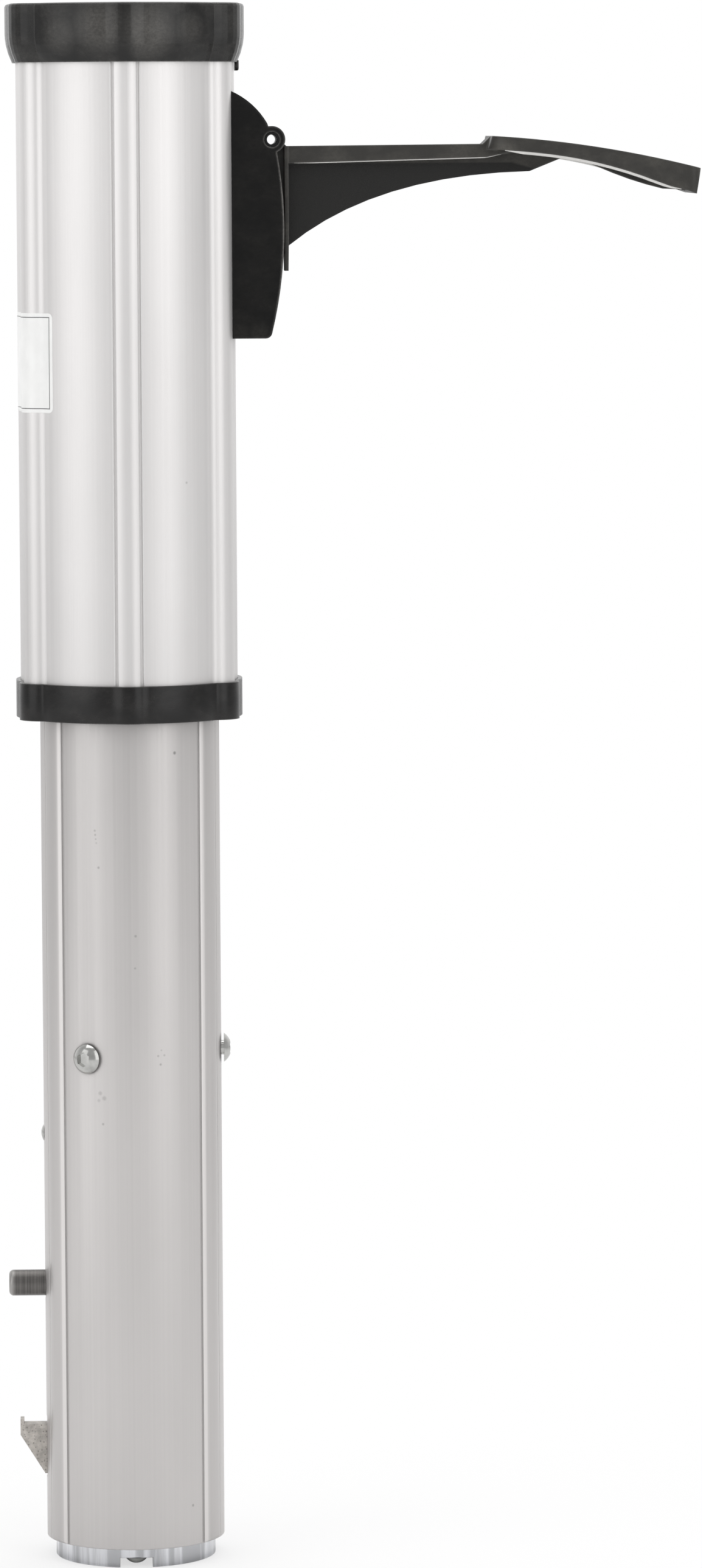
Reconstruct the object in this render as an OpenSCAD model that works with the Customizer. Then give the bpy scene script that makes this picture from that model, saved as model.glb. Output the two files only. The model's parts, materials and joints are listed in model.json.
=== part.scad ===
// Telescoping boat seat post: an outer sleeve that slides on a lower post, held
// at any height by a locking gas spring, with a spring catch at the foot.
// Millimetres. +Z is up the post, +X points along the release lever, and the
// origin is on the post's axis, level with the underside of the foot ring.

/* [Lower post] */
// Outside radius of the lower post
post_r = 36.5; // [35.5:0.25:37]
// Wall of the lower post
post_wall = 3.5; // [3:0.25:4]
// Height of the lower post's end above the foot face
post_lift = 7.8; // [5:0.2:10]
// Rounding of the lower post's bottom edge
post_edge = 3; // [1:0.5:3.5]
// Radius of the three long guide ribs on the lower post
post_rib_r = 12; // [10:0.5:14]
// How far the guide ribs stand out of the lower post
post_rib_out = 1.5; // [0.8:0.1:1.8]

/* [Foot ring] */
// Gap between the foot ring and the lower post's bore
ring_gap = 0.2; // [0.1:0.05:1.5]
// Bore radius of the foot ring
ring_bore_r = 23; // [20:0.5:24]
// Height of the foot ring
ring_h = 24; // [18:1:26]
// Width of the key slot across the foot ring
key_w = 13.3; // [10.5:0.1:14]
// Depth of the key slot
key_d = 4; // [3.2:0.2:5]

/* [Outer sleeve] */
// Room for the bearings between the lower post and the outer tube
guide_room = 4.9; // [4.5:0.1:6.5]
// Wall of the outer tube
tube_wall = 2.8; // [2.5:0.1:3.2]
// Radius of the three round lobes along the outer tube
lobe_r = 8; // [7:0.1:9]
// How far the lobes stand out of the outer tube
lobe_out = 3.8; // [3:0.1:4.2]
// Radius of the three low beads along the outer tube
bead_r = 8.2; // [7:0.1:9]
// How far the beads stand out of the outer tube
bead_out = 1.5; // [1:0.1:2]
// Radius of the screw ports cored behind the beads
port_r = 1.95; // [1.6:0.05:2]

/* [Height adjustment] */
// Height of the collar's underside above the foot face, post fully extended
extended_z = 346.6; // [340:0.2:380]
// Length of the lower post that is still inside the sleeve there
post_in = 69.8; // [60:0.2:95]
// How far the sleeve slides down from there
travel = 125; // [90:1:125]

/* [Collar and cap] */
// Height of the lower collar
collar_h = 15; // [12:0.5:20]
// How far the collar stands out of the outer tube
collar_out = 1.9; // [1.5:0.1:3]
// Thickness of the collar's floor under the outer tube
collar_floor = 2.6; // [2:0.2:4]
// Depth of the collar's skirt inside the outer tube
collar_skirt = 26; // [15:1:36]
// Height of the top cap
cap_h = 23.6; // [20:0.2:28]
// How far the top cap stands out of the outer tube
cap_out = 4.2; // [3.5:0.1:5]
// How far the cap still stands out at its lower edge
cap_edge_out = 1.3; // [0.8:0.1:2]
// Thickness of the cap's lid
cap_lid = 2.8; // [2.6:0.1:4]

/* [Seat socket] */
// Radius of the seat pin's bore
pin_bore_r = 9.6; // [9:0.1:10]
// Depth of the seat pin's bore
pin_bore_depth = 36; // [30:1:38]
// Wall of the bush that lines the bore
pin_bush_wall = 2; // [1.5:0.1:2.5]
// Thickness of the bridge that holds the gas spring's rod
bridge_h = 10; // [8:0.5:12]

/* [Gas spring] */
// Outside radius of the gas cylinder
cyl_r = 14; // [12:0.5:15]
// Wall of the gas cylinder
cyl_wall = 1.2; // [1:0.1:1.5]
// Radius of the piston rod
rod_r = 5; // [4.5:0.1:5.5]
// Radius of the release pin in the rod's end
release_r = 2.5; // [2:0.1:2.8]
// Length of the gland at the cylinder's mouth
gland_h = 16; // [10:1:20]

/* [Cylinder seat] */
// Height of the three post screws
seat_z = 209.4; // [206:0.2:216]
// Height of the cylinder seat
seat_h = 28; // [20:1:34]
// Radius of a post screw's shank
post_screw_r = 3; // [2.5:0.1:3.5]
// Head radius of a post screw
post_head_r = 6; // [5:0.1:6.5]
// Head height of a post screw
post_head_h = 3.1; // [2.5:0.1:3.5]
// Gap under a post screw's head
post_head_gap = 1.1; // [0.2:0.1:1.5]

/* [Foot catch] */
// Height of the rivet that holds the catch's leaf spring
rivet_z = 174.9; // [172:0.5:180]
// Thickness of the leaf spring
leaf_t = 1.2; // [1:0.1:1.5]
// Width of the leaf spring
leaf_w = 14; // [11:0.5:15]
// Height of the push button
button_z = 112.7; // [105:0.1:120]
// Radius of the push button
button_r = 5.3; // [4.5:0.1:6]
// How far the push button stands out of the post
button_out = 14.8; // [12:0.2:16]
// Height of the wedge's flat top
wedge_z = 54.3; // [52:0.1:60]
// Height of the wedge, from its flat top to the foot of its ramp
wedge_h = 20.5; // [15:0.5:21]
// Width of the wedge
wedge_w = 7; // [5:0.5:8]
// How far the wedge stands out of the post
wedge_out = 10.7; // [8:0.1:11]

/* [Release lever] */
// Distance of the lever's pivot from the outer tube
pivot_out = 14.9; // [14:0.1:17]
// Depth of the lever's pivot below the top of the outer tube
pivot_drop = 49; // [48:0.2:55]
// Length of the lever outside its pivot
lever_len = 172.4; // [150:0.2:200]
// Length of the paddle at the lever's end
paddle_len = 85.4; // [70:0.2:95]
// Width of the paddle
paddle_w = 60; // [40:1:70]
// Width of the lever's arm
lever_w = 22; // [18:0.5:26]
// Thickness of the arm's flange at the plate
flange_h = 6.9; // [5:0.1:8]
// Thickness of the arm's flange at the paddle
flange_end_h = 5.3; // [3.5:0.1:6]
// Thickness of the web under the arm
web_t = 7; // [5:0.5:9]
// Width of the lever's inner arm
inner_w = 12; // [8:0.5:14]
// Turn of the lever from rest to fully lifted, in degrees
lever_turn = 6; // [4:0.5:7]

/* [Lever housing] */
// Width of the lever housing
housing_w = 34; // [30:1:38]
// Wall of the lever housing
housing_wall = 2.8; // [2:0.1:3.5]
// Height of the housing above the lever's pivot
housing_up = 19.6; // [18:0.1:22]
// Depth of the housing below the lever's pivot
housing_down = 80; // [70:1:90]
// Outside radius of the pivot's ears
ear_r = 5.4; // [4.8:0.1:6]
// Outside radius of the hollow hinge pin
hinge_r = 3; // [2.6:0.1:3.2]
// Bore radius of the hinge pin
hinge_bore_r = 2; // [1.2:0.1:2.2]

/* [Hidden] */

$fn = 96;

// Clearances
slide_gap = 0.3;    // between faces that slide past each other
fit_gap = 0.05;     // radial, between a shaft and the hole that it turns or slides in
seat_gap = 0.1;     // between a piece and the pocket that it is fixed in
cut = 1;            // overrun of a cutter past the face that it opens

// Directions round the axis
RIBS = [-30, 90, 210];          // guide ribs and the lobes that they run in
PORTS = [-90, 30, 150];         // beads with the ports for the cap's screws
FRONT_BACK = [-90, 90];         // key slot and foot ring screws
POST_SCREWS = [-120, 0, 120];   // post screws
CATCH = 180;                    // foot catch

// Lower post
post_bore_r = post_r - post_wall;
post_rib_c = post_r + post_rib_out - post_rib_r;
post_rib_foot = acos((post_r * post_r + post_rib_c * post_rib_c - post_rib_r * post_rib_r)
    / (2 * post_r * post_rib_c));
post_groove_r = 0.45;
boss_r = 4.4;
boss_c = post_bore_r - boss_r;
foot_screw_r = 2.5;
foot_head_r = 4.7;
foot_head_h = 2.7;
foot_screw_len = 40;
ring_r = post_bore_r - ring_gap;

// Outer sleeve
tube_bore_r = post_r + guide_room;
tube_r = tube_bore_r + tube_wall;
lobe_c = tube_r + lobe_out - lobe_r;
channel_r = lobe_r - tube_wall;
lobe_fillet = 5;
fillet_bite = 0.04;
bead_c = tube_r + bead_out - bead_r;
bead_groove_r = 0.6;
bead_foot = acos((tube_r * tube_r + bead_c * bead_c - bead_r * bead_r) / (2 * tube_r * bead_c));
port_boss_r = 3;
port_c = tube_r - 1.6;
flange_t = 3;

// Post end, with its guide, which must pass under the rod's lower nut
guide_lip = 3.2;
guide_skirt = 22;
stop_gap = 3;
post_z1 = extended_z + post_in;
guide_z1 = post_z1 + guide_lip;

// From there up: rod nut, bridge, rod end, release pin, lever and tube end
nut_h = 5;
nut_af = 16;
rod_end_h = 1;
release_gap = 0.4;
release_play = 0.3;
nose_r = 4.5;
pivot_x = tube_r + pivot_out;
release_travel = pivot_x * sin(lever_turn);
rod_nut_z = guide_z1 + stop_gap + travel;
bridge_z0 = rod_nut_z + nut_h;
bridge_z1 = bridge_z0 + bridge_h;
rod_top = bridge_z1 + nut_h + rod_end_h;
release_top = rod_top + release_travel + release_gap;
pivot_z = release_top + nose_r + release_play;
tube_z0 = extended_z + collar_floor;
tube_z1 = pivot_z + pivot_drop;
socket_z1 = tube_z1 + flange_t;
top_z = socket_z1 + cap_lid;

// Gas spring
cyl_bore_r = cyl_r - cyl_wall;
seat_z0 = seat_z - seat_h / 2;
cyl_floor = 6;
cyl_z0 = seat_z0 + cyl_floor;
cyl_z1 = guide_z1;
cyl_end_t = 3;
stud_r = 4;
stud_nut_h = 6;
stud_nut_af = 13;
piston_h = 10;
piston_z1 = cyl_z1 - gland_h - 6;
piston_z0 = piston_z1 - piston_h;
seal_r = 1.2;
release_hole = 40;
release_len = 30;
post_screw_in = 13;
post_hole_r = post_screw_r + 0.3;
post_hex_r = 3.1;
post_hex_depth = 2;

// Foot catch
leaf_x = -(sqrt(pow(post_bore_r, 2) - pow(leaf_w / 2, 2)) - slide_gap);
leaf_z1 = rivet_z + 7;
leaf_z0 = wedge_z - wedge_h - 1;
leaf_mid_x = leaf_x + leaf_t / 2;
catch_pivot_z = rivet_z - 10;
rivet_r = 1.6;
rivet_head_r = 3.4;
rivet_head_h = 1.1;
tenon_r = 1.8;
tenon_head_r = 3;
tenon_head_h = 0.9;
button_gap = 0.4;
button_drop = 1.4;
button_round = 1.8;
wedge_lip_t = 1.5;
wedge_lip_h = 2;
wedge_face_h = 4.4;
wedge_gap = 0.5;
wedge_clear_top = 1.5;
wedge_clear_low = 1.6;
wedge_tenons = [0.3, 0.68];

// Lever, in the plane of its side view, measured from the pivot
hub_r = 4.8;
ear_gap = 0.3;
hub_w = 18;
plate_x = 5.1;
plate_t = 1.6;
plate_bottom = -53;
plate_w = 26;
arm_top = -2.7;
arm_rise = 0.5;
arm_bottom = arm_top - flange_h;
paddle_x = lever_len - paddle_len;
paddle_step = 3.8;
paddle_round_r = 425;
paddle_slope = 3.2;
paddle_skin = 3.2;
paddle_lean = 1.8;
paddle_ramp = 1.5;
paddle_rim = 5.4;
paddle_rim_tip = 10.2;
paddle_wall = 3;
paddle_corner = 9;
paddle_tip_corner = 4;
flange_in = 12;
web_top_z = -2;
web_z0 = -43;
web_out = 32;
web_turn = 17.7;
web_turn_z = -13.3;
rib_t = 3;
rib_in = 39;
rib_out = 79.5;
rib_drop = 2.6;

// Lever housing, measured from the pivot. Its side view starts inside the tube,
// and the screw heads sit in counterbores.
housing_back_x = -pivot_out - 8;
housing_seat_x = 5 - pivot_out;
housing_arc_x = -29.1;
housing_arc_r = 31.5;
housing_front_r = 174;
housing_front_x = 4.8;
housing_front_z = -36;
housing_foot = 24;
housing_toe_r = 2.6;
slot_gap = 1.2;
slot_down = 47;
housing_screw_z = -69;
housing_screw_y = 8.5;
housing_screw_r = 2;
housing_head_r = 3.5;
housing_head_h = 2.4;
window_up = 8;
window_down = 12;
window_w = 16;

// Copies its children round the axis at each of the angles
module round_at(angles) {
    for (a = angles) rotate([0, 0, a]) children();
}

// A drilled hole or a rod that points out along +X
module radial(r, x0, x1) {
    translate([x0, 0, 0]) rotate([0, 90, 0]) cylinder(r = r, h = x1 - x0);
}

// A rod across the lever, along Y
module across(r, w) {
    rotate([90, 0, 0]) cylinder(r = r, h = w, center = true);
}

// Extrudes a side view, drawn in X and Z, across the lever
module side(w) {
    rotate([90, 0, 0]) linear_extrude(w, center = true) children();
}

// A hexagon nut with its bore
module nut(af, h, bore_r) {
    difference() {
        cylinder(r = af / sqrt(3), h = h, $fn = 6);
        translate([0, 0, -cut]) cylinder(r = bore_r, h = h + 2 * cut);
    }
}

// A dome, flat side down, of base radius r and height h
module dome(r, h) {
    ball_r = (r * r + h * h) / (2 * h);
    rotate_extrude() intersection() {
        translate([0, h - ball_r]) circle(ball_r);
        square([r, h]);
    }
}

// Points on an arc in the side view
function arc(x, z, r, a0, a1, n) = [for (i = [0:n])
    let(a = a0 + (a1 - a0) * i / n) [x + r * cos(a), z + r * sin(a)]];

// Section of the lower post, grown outwards by g
module post_section(g = 0) {
    circle(post_r + g);
    round_at(RIBS) translate([post_rib_c, 0]) circle(post_rib_r + g);
}

// Centre of the hollow fillet between the outer tube's circle and a lobe
fillet_d = tube_r + lobe_fillet;
fillet_e = lobe_r + lobe_fillet;
fillet_a = acos((fillet_d * fillet_d + lobe_c * lobe_c - fillet_e * fillet_e) / (2 * fillet_d * lobe_c));
fillet_at = fillet_d * [cos(fillet_a), sin(fillet_a)];

// Outside section of the outer tube, grown outwards by g
module tube_section(g = 0) {
    circle(tube_r + g);
    round_at(PORTS) translate([bead_c, 0]) circle(bead_r + g);
    round_at(RIBS) {
        translate([lobe_c, 0]) circle(lobe_r + g);
        for (m = [0, 1]) mirror([0, m]) difference() {
            polygon([[0, 0], [lobe_c, 0], fillet_at]);
            translate(fillet_at) circle(lobe_fillet - g + fillet_bite);
        }
    }
}

// Inside section of the outer tube, grown outwards by g
module bore_section(g = 0) {
    difference() {
        union() {
            circle(tube_bore_r + g);
            round_at(RIBS) translate([lobe_c, 0]) circle(channel_r + g);
        }
        round_at(PORTS) translate([port_c, 0]) circle(port_boss_r - g);
    }
}

// Distance from the origin to the far or near side of a circle, along a ray
function far_side(x, y, r, a) = let(u = x * cos(a) + y * sin(a), v = y * cos(a) - x * sin(a))
    r > abs(v) ? u + sqrt(r * r - v * v) : 0;
function near_side(x, y, r, a) = let(u = x * cos(a) + y * sin(a), v = y * cos(a) - x * sin(a))
    u - sqrt(max(0, r * r - v * v));
// Radius of the outer tube's outside, grown by g, at the angle a from a lobe
function lobe_reach(d, g) = let(
    t = [lobe_c, 0] + (lobe_r + g) * (fillet_at - [lobe_c, 0]) / fillet_e,
    ta = atan2(t[1], t[0]))
    d <= ta ? far_side(lobe_c, 0, lobe_r + g, d)
    : d < fillet_a ? near_side(fillet_at[0], fillet_at[1], lobe_fillet - g, d)
    : tube_r + g;
function tube_reach(a, g) = let(d = abs(a - 120 * round(a / 120)))
    max(lobe_reach(d, g), far_side(bead_c, 0, bead_r + g, d - 60));

// ---------------------------------------------------------------- lower post

module lower_post() {
    color("silver") difference() {
        intersection() {
            translate([0, 0, post_lift]) linear_extrude(post_z1 - post_lift) difference() {
                post_section();
                difference() {
                    circle(post_bore_r);
                    round_at(FRONT_BACK) {
                        translate([boss_c, 0]) circle(boss_r);
                        translate([boss_c, -boss_r]) square([boss_r + 1, 2 * boss_r]);
                    }
                }
                for (s = [-1, 1]) round_at(RIBS) rotate(s * post_rib_foot) translate([post_r, 0])
                    circle(post_groove_r);
            }
            post_outline();
        }
        // The lower end is bored out for the foot ring
        translate([0, 0, post_lift - cut]) cylinder(r = post_bore_r, h = ring_h - post_lift + cut);
        round_at(FRONT_BACK) translate([boss_c, 0, 0])
            cylinder(r = foot_screw_r + fit_gap, h = post_z1 + cut);
        round_at(POST_SCREWS) translate([0, 0, seat_z]) radial(post_hole_r, post_bore_r - cut, post_r + cut);
        seat_relief();
        rotate([0, 0, CATCH]) catch_openings();
    }
}

// Rounds the bottom edge of the lower post
module post_outline() {
    outer_r = post_r + post_rib_out;
    translate([0, 0, post_lift]) rotate_extrude() {
        translate([0, post_edge]) square([outer_r + cut, post_z1 - post_lift]);
        square([outer_r - post_edge, post_z1 - post_lift]);
        translate([outer_r - post_edge, post_edge]) circle(post_edge);
    }
}

// The screw bosses are cut away where the cylinder seat sits
module seat_relief() {
    translate([0, 0, seat_z0 - seat_gap]) difference() {
        cylinder(r = post_bore_r, h = seat_h + 2 * seat_gap);
        translate([0, 0, -cut]) cylinder(r = boss_c - boss_r - cut, h = seat_h + 2 * cut);
    }
}

// Holes in the post for the rivet, the push button and the wedge, facing +X
module catch_openings() {
    translate([0, 0, rivet_z]) radial(rivet_r + fit_gap, post_bore_r - 2 * cut, post_r + cut);
    for (dz = [0, -button_drop]) translate([0, 0, button_z + dz])
        radial(button_r + button_gap, post_bore_r - 2 * cut, post_r + cut);
    translate([post_bore_r - 2 * cut, -button_r - button_gap, button_z - button_drop])
        cube([post_wall + 3 * cut, 2 * (button_r + button_gap), button_drop]);
    translate([post_bore_r - 2 * cut, -wedge_w / 2 - wedge_gap, wedge_z - wedge_h - wedge_clear_low])
        cube([post_wall + 3 * cut, wedge_w + 2 * wedge_gap,
              wedge_h + wedge_lip_h + wedge_clear_low + wedge_clear_top]);
}

module foot_ring() {
    color("gainsboro") difference() {
        cylinder(r = ring_r, h = ring_h);
        translate([0, 0, -cut]) cylinder(r = ring_bore_r, h = ring_h + 2 * cut);
        translate([-key_w / 2, -ring_r - cut, -cut]) cube([key_w, 2 * (ring_r + cut), key_d + cut]);
        round_at(FRONT_BACK) translate([boss_c, 0, 0])
            cylinder(r = foot_screw_r + fit_gap, h = ring_h + cut);
    }
}

module foot_ring_screws() {
    color("silver") round_at(FRONT_BACK) translate([boss_c, 0, key_d]) {
        mirror([0, 0, 1]) difference() {
            dome(foot_head_r, foot_head_h);
            translate([0, 0, foot_head_h - 1.5]) cylinder(r = 1.7, h = 2, $fn = 6);
        }
        cylinder(r = foot_screw_r, h = foot_screw_len);
    }
}

module cylinder_seat() {
    color("dimgray") difference() {
        translate([0, 0, seat_z0]) cylinder(r = post_bore_r - fit_gap, h = seat_h);
        translate([0, 0, cyl_z0]) cylinder(r = cyl_r + fit_gap, h = seat_h);
        translate([0, 0, seat_z0 - cut]) cylinder(r = stud_r + fit_gap, h = cyl_floor + 2 * cut);
        round_at(POST_SCREWS) translate([0, 0, seat_z])
            radial(post_screw_r + fit_gap, post_bore_r - post_screw_in - 1, post_bore_r + cut);
        // Three wells lighten the seat between the screws
        round_at(POST_SCREWS) rotate([0, 0, 60]) translate([(cyl_r + post_bore_r) / 2, 0, cyl_z0])
            cylinder(r = (post_bore_r - cyl_r) / 2 - 3, h = seat_h);
    }
}

module post_screws() {
    color("lightgray") round_at(POST_SCREWS) translate([0, 0, seat_z]) {
        radial(post_screw_r, post_bore_r - post_screw_in, post_r + post_head_gap);
        translate([post_r + post_head_gap, 0, 0]) rotate([0, 90, 0]) difference() {
            dome(post_head_r, post_head_h);
            translate([0, 0, post_head_h - post_hex_depth]) cylinder(r = post_hex_r, h = 3, $fn = 6);
        }
    }
}

module gas_cylinder() {
    color("dimgray") {
        translate([0, 0, cyl_z0]) difference() {
            cylinder(r = cyl_r, h = cyl_z1 - cyl_z0);
            translate([0, 0, cyl_end_t]) cylinder(r = cyl_bore_r, h = cyl_z1 - cyl_z0);
        }
        translate([0, 0, seat_z0 - stud_nut_h - 3])
            cylinder(r = stud_r, h = cyl_z0 - seat_z0 + stud_nut_h + 4);
    }
}

module cylinder_gland() {
    color("silver") translate([0, 0, cyl_z1 - gland_h]) difference() {
        cylinder(r = cyl_bore_r - fit_gap, h = gland_h);
        translate([0, 0, -cut]) cylinder(r = rod_r + fit_gap, h = gland_h + 2 * cut);
        translate([0, 0, gland_h / 2]) rotate_extrude() translate([rod_r, 0])
            square([2 * (seal_r + fit_gap), 2 * (seal_r + fit_gap)], center = true);
    }
}

module rod_seal() {
    color("black") translate([0, 0, cyl_z1 - gland_h / 2]) rotate_extrude()
        translate([rod_r + fit_gap, -seal_r]) square([2 * seal_r - 2 * fit_gap - seal_r, 2 * seal_r]);
}

module cylinder_nut() {
    color("silver") translate([0, 0, seat_z0 - stud_nut_h]) nut(stud_nut_af, stud_nut_h, stud_r + fit_gap);
}

// The guide caps the post's upper end and runs in the outer tube
module upper_guide() {
    color("black") translate([0, 0, post_z1 - guide_skirt]) difference() {
        linear_extrude(guide_skirt + guide_lip) bore_section(-slide_gap);
        translate([0, 0, -cut]) linear_extrude(guide_skirt + cut) post_section(seat_gap);
        translate([0, 0, -cut]) cylinder(r = post_bore_r, h = guide_skirt + guide_lip + 2 * cut);
    }
}

// ---------------------------------------------------------------- foot catch

module latch_leaf() {
    color("slategray") difference() {
        translate([leaf_x, -leaf_w / 2, leaf_z0]) cube([leaf_t, leaf_w, leaf_z1 - leaf_z0]);
        translate([leaf_x, 0, rivet_z]) radial(rivet_r + fit_gap, -cut, leaf_t + cut);
        translate([leaf_x, 0, button_z]) radial(tenon_r + fit_gap, -cut, leaf_t + cut);
        for (k = wedge_tenons) translate([leaf_x, 0, wedge_z - k * wedge_h])
            radial(tenon_r + fit_gap, -cut, leaf_t + cut);
    }
}

// A tenon through the leaf with its peened head
module tenon() {
    radial(tenon_r, leaf_x - cut, leaf_x + leaf_t + fit_gap);
    radial(tenon_head_r, leaf_x + leaf_t + fit_gap, leaf_x + leaf_t + fit_gap + tenon_head_h);
}

module leaf_rivet() {
    inside_x = leaf_x + leaf_t + fit_gap;
    color("gray") translate([0, 0, rivet_z]) {
        radial(rivet_r, -post_r - fit_gap, inside_x);
        radial(2 * rivet_r, inside_x, inside_x + 1.5);
        translate([-post_r, 0, 0]) rotate([0, -90, 0]) dome(rivet_head_r, rivet_head_h);
    }
}

module latch_button() {
    tip_x = -post_r - button_out;
    color("dimgray") translate([0, 0, button_z]) {
        translate([leaf_x - fit_gap, 0, 0]) rotate([0, -90, 0]) rotate_extrude() {
            len = leaf_x - fit_gap - tip_x;
            square([button_r - button_round, len]);
            square([button_r, len - button_round]);
            intersection() {
                translate([button_r - button_round, len - button_round]) circle(button_round);
                square([button_r, len]);
            }
        }
        tenon();
    }
}

module latch_wedge() {
    tip_x = -post_r - wedge_out;
    toe_x = -post_r - 0.6;
    color("darkgray") translate([0, 0, wedge_z]) {
        side(wedge_w) polygon([
            [leaf_x - fit_gap, 0],
            [tip_x + wedge_lip_t, 0],
            [tip_x + wedge_lip_t, wedge_lip_h],
            [tip_x, wedge_lip_h],
            [tip_x, -wedge_face_h],
            [toe_x, -wedge_h],
            [leaf_x - fit_gap, -wedge_h]
        ]);
        for (k = wedge_tenons) translate([0, 0, -k * wedge_h]) tenon();
    }
}

// ------------------------------------------------------------- outer sleeve

module outer_tube() {
    color("gainsboro") difference() {
        translate([0, 0, tube_z0]) linear_extrude(tube_z1 - tube_z0) difference() {
            tube_section();
            bore_section();
            for (s = [-1, 1]) round_at(PORTS) rotate(s * bead_foot) translate([tube_r, 0])
                circle(bead_groove_r);
        }
        round_at(PORTS) translate([port_c, 0, tube_z0 - cut])
            cylinder(r = port_r, h = tube_z1 - tube_z0 + 2 * cut);
        lever_window();
        translate([0, 0, pivot_z + housing_screw_z]) for (y = [-housing_screw_y, housing_screw_y])
            translate([0, y, 0]) radial(housing_screw_r + fit_gap, tube_bore_r - 3, tube_r + cut);
    }
}

// The window in the tube's wall that the lever's inner arm goes through
module lever_window() {
    translate([tube_bore_r - 4, -window_w / 2, pivot_z - window_down])
        cube([tube_wall + 8, window_w, window_up + window_down]);
}

// The collar closes the tube's lower end and bears on the post
module lower_collar() {
    color("black") translate([0, 0, extended_z]) difference() {
        union() {
            linear_extrude(collar_h) tube_section(collar_out);
            linear_extrude(collar_floor + collar_skirt) bore_section(-fit_gap);
        }
        translate([0, 0, collar_floor]) linear_extrude(collar_h) difference() {
            tube_section(seat_gap);
            bore_section(-fit_gap);
        }
        translate([0, 0, -cut]) linear_extrude(collar_floor + collar_skirt + 2 * cut)
            post_section(slide_gap);
    }
}

// The casting at the sleeve's top: seat pin socket, and the bridge for the rod
module seat_socket() {
    skirt_h = 28;
    skirt_t = 4;
    boss_wall = 5.5;
    leg_in = 10.5;
    leg_t = 7;
    leg_d = 28;
    rib_w = 5;
    boss_z0 = socket_z1 - pin_bore_depth - 6;
    boss_out = pin_bore_r + pin_bush_wall + boss_wall;
    leg_z1 = boss_z0 + 8;
    color("lightsteelblue") difference() {
        union() {
            translate([0, 0, tube_z1]) linear_extrude(flange_t) tube_section(-seat_gap);
            translate([0, 0, tube_z1 - skirt_h]) linear_extrude(skirt_h) difference() {
                circle(tube_bore_r - seat_gap);
                difference() {
                    circle(tube_bore_r - skirt_t);
                    round_at(RIBS) translate([0, -rib_w / 2]) square([tube_bore_r, rib_w]);
                }
                round_at(PORTS) translate([port_c, 0]) circle(port_boss_r + seat_gap);
            }
            translate([0, 0, boss_z0]) cylinder(r = boss_out, h = tube_z1 - boss_z0 + cut);
            for (m = [0, 1]) mirror([0, m, 0]) translate([-leg_d / 2, leg_in, bridge_z0])
                cube([leg_d, leg_t, leg_z1 - bridge_z0]);
            translate([-leg_d / 2, -leg_in - 1, bridge_z0]) cube([leg_d, 2 * leg_in + 2, bridge_h]);
        }
        translate([0, 0, socket_z1 - pin_bore_depth])
            cylinder(r = pin_bore_r + pin_bush_wall + fit_gap, h = pin_bore_depth + cut);
        translate([0, 0, bridge_z0 - cut]) cylinder(r = rod_r + fit_gap, h = bridge_h + 2 * cut);
        round_at(PORTS) translate([port_c, 0, tube_z1 - cut])
            cylinder(r = port_r + 0.3, h = flange_t + 2 * cut);
    }
}

module pin_bush() {
    color("black") translate([0, 0, socket_z1 - pin_bore_depth]) difference() {
        cylinder(r = pin_bore_r + pin_bush_wall, h = pin_bore_depth);
        translate([0, 0, -cut]) cylinder(r = pin_bore_r, h = pin_bore_depth + 2 * cut);
    }
}

// Rings of the cap's outside: [height, stand-out], rounded in towards its lower edge
cap_z0 = top_z - cap_h;
cap_round_h = 12;
cap_top_round = 1.2;
cap_head_r = 3.2;
cap_head_h = 1.6;
cap_screw_len = 18;
cap_rings = concat(
    [for (i = [0:5]) let(a = 90 * i / 5)
        [cap_z0 + cap_round_h * sin(a), cap_edge_out + (cap_out - cap_edge_out) * (1 - pow(1 - sin(a), 2))]],
    [[top_z - cap_top_round, cap_out], [top_z - cap_top_round * 0.3, cap_out - cap_top_round * 0.3],
     [top_z, cap_out - cap_top_round]]
);

module cap_outside() {
    n = 120;
    m = len(cap_rings);
    points = concat(
        [for (ring = cap_rings) for (i = [0:n - 1])
            let(a = 360 * i / n, r = tube_reach(a + 30, ring[1])) [r * cos(a), r * sin(a), ring[0]]],
        [[0, 0, cap_z0], [0, 0, top_z]]
    );
    sides = [for (k = [0:m - 2]) for (i = [0:n - 1]) let(j = (i + 1) % n)
        [k * n + i, (k + 1) * n + i, (k + 1) * n + j, k * n + j]];
    // Flat ends as triangles round the axis, because the outline isn't convex
    bottom = [for (i = [0:n - 1]) [i, (i + 1) % n, m * n]];
    top = [for (i = [0:n - 1]) [(m - 1) * n + (i + 1) % n, (m - 1) * n + i, m * n + 1]];
    polyhedron(points = points, faces = concat(sides, bottom, top), convexity = 4);
}

module top_cap() {
    color([0.16, 0.16, 0.15]) difference() {
        cap_outside();
        translate([0, 0, cap_z0 - cut]) linear_extrude(cap_h - cap_lid + cut) tube_section(seat_gap);
        translate([0, 0, socket_z1 - cut]) cylinder(r = pin_bore_r + 0.9, h = cap_lid + 2 * cut);
        round_at(PORTS) translate([port_c, 0, socket_z1 - cut]) {
            cylinder(r = port_r + 0.4, h = cap_lid + 2 * cut);
            translate([0, 0, cut + cap_lid - cap_head_h])
                cylinder(r = cap_head_r + 0.2, h = cap_head_h + cut);
        }
    }
}

module cap_screws() {
    color("silver") round_at(PORTS) translate([port_c, 0, top_z - cap_head_h]) {
        difference() {
            cylinder(r = cap_head_r, h = cap_head_h - 0.2);
            translate([0, 0, 0.6]) cylinder(r = 1.5, h = 2, $fn = 6);
        }
        translate([0, 0, -cap_screw_len]) cylinder(r = port_r - fit_gap, h = cap_screw_len);
    }
}

module gas_rod() {
    color("silver") difference() {
        translate([0, 0, piston_z0 - 2]) cylinder(r = rod_r, h = rod_top - piston_z0 + 2);
        translate([0, 0, rod_top - release_hole]) cylinder(r = release_r + fit_gap, h = release_hole + cut);
    }
}

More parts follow.
